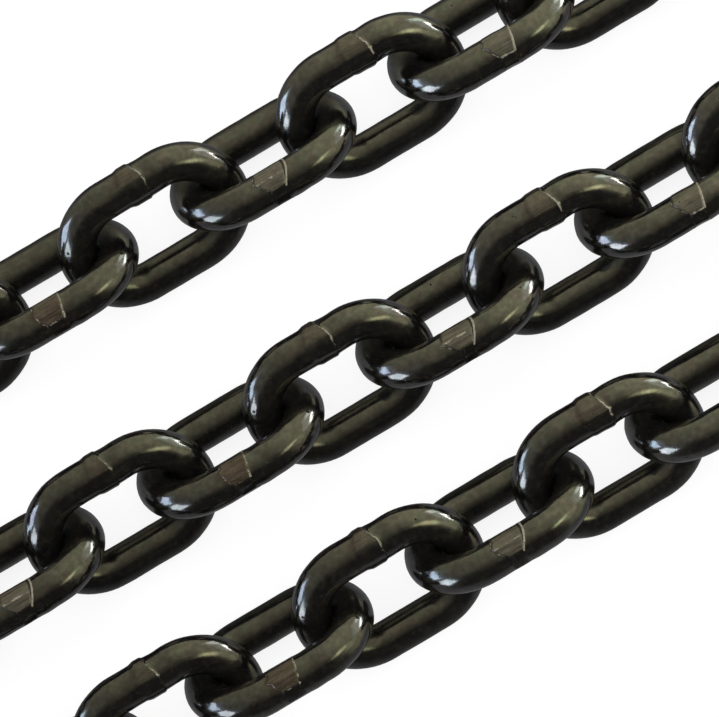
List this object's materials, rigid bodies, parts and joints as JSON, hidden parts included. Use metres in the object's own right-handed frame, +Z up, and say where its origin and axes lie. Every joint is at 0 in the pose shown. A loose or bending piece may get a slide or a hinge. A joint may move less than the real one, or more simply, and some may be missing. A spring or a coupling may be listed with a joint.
{
  "type": "anchor chain lengths",
  "caption": "Cut lengths of welded short-link anchor chain in glossy blackened steel, pulled straight and laid side by side, with an open eye at each end.",
  "frame": {"origin": "on the floor, in the middle of the footprint of the three chains", "axes": "+X along the chains, towards the picture's upper right; +Y towards the far chain; +Z up"},
  "size_m": [1.0966, 0.3642, 0.0759],
  "materials": {
    "blackened_steel": "glossy black-olive over smooth steel, brownish and less glossy at the welds"
  },
  "bodies": {
    "root": {"far_chain_link_01": "blackened_steel", "far_chain_link_02": "blackened_steel", "far_chain_link_03": "blackened_steel", "far_chain_link_04": "blackened_steel", "far_chain_link_05": "blackened_steel", "far_chain_link_06": "blackened_steel", "far_chain_link_07": "blackened_steel", "far_chain_link_08": "blackened_steel", "far_chain_link_09": "blackened_steel", "far_chain_link_10": "blackened_steel", "far_chain_link_11": "blackened_steel", "far_chain_link_12": "blackened_steel", "middle_chain_link_01": "blackened_steel", "middle_chain_link_02": "blackened_steel", "middle_chain_link_03": "blackened_steel", "middle_chain_link_04": "blackened_steel", "middle_chain_link_05": "blackened_steel", "middle_chain_link_06": "blackened_steel", "middle_chain_link_07": "blackened_steel", "middle_chain_link_08": "blackened_steel", "middle_chain_link_09": "blackened_steel", "middle_chain_link_10": "blackened_steel", "middle_chain_link_11": "blackened_steel", "middle_chain_link_12": "blackened_steel", "near_chain_link_01": "blackened_steel", "near_chain_link_02": "blackened_steel", "near_chain_link_03": "blackened_steel", "near_chain_link_04": "blackened_steel", "near_chain_link_05": "blackened_steel", "near_chain_link_06": "blackened_steel", "near_chain_link_07": "blackened_steel", "near_chain_link_08": "blackened_steel", "near_chain_link_09": "blackened_steel", "near_chain_link_10": "blackened_steel", "near_chain_link_11": "blackened_steel", "near_chain_link_12": "blackened_steel"}
  },
  "joints": []
}
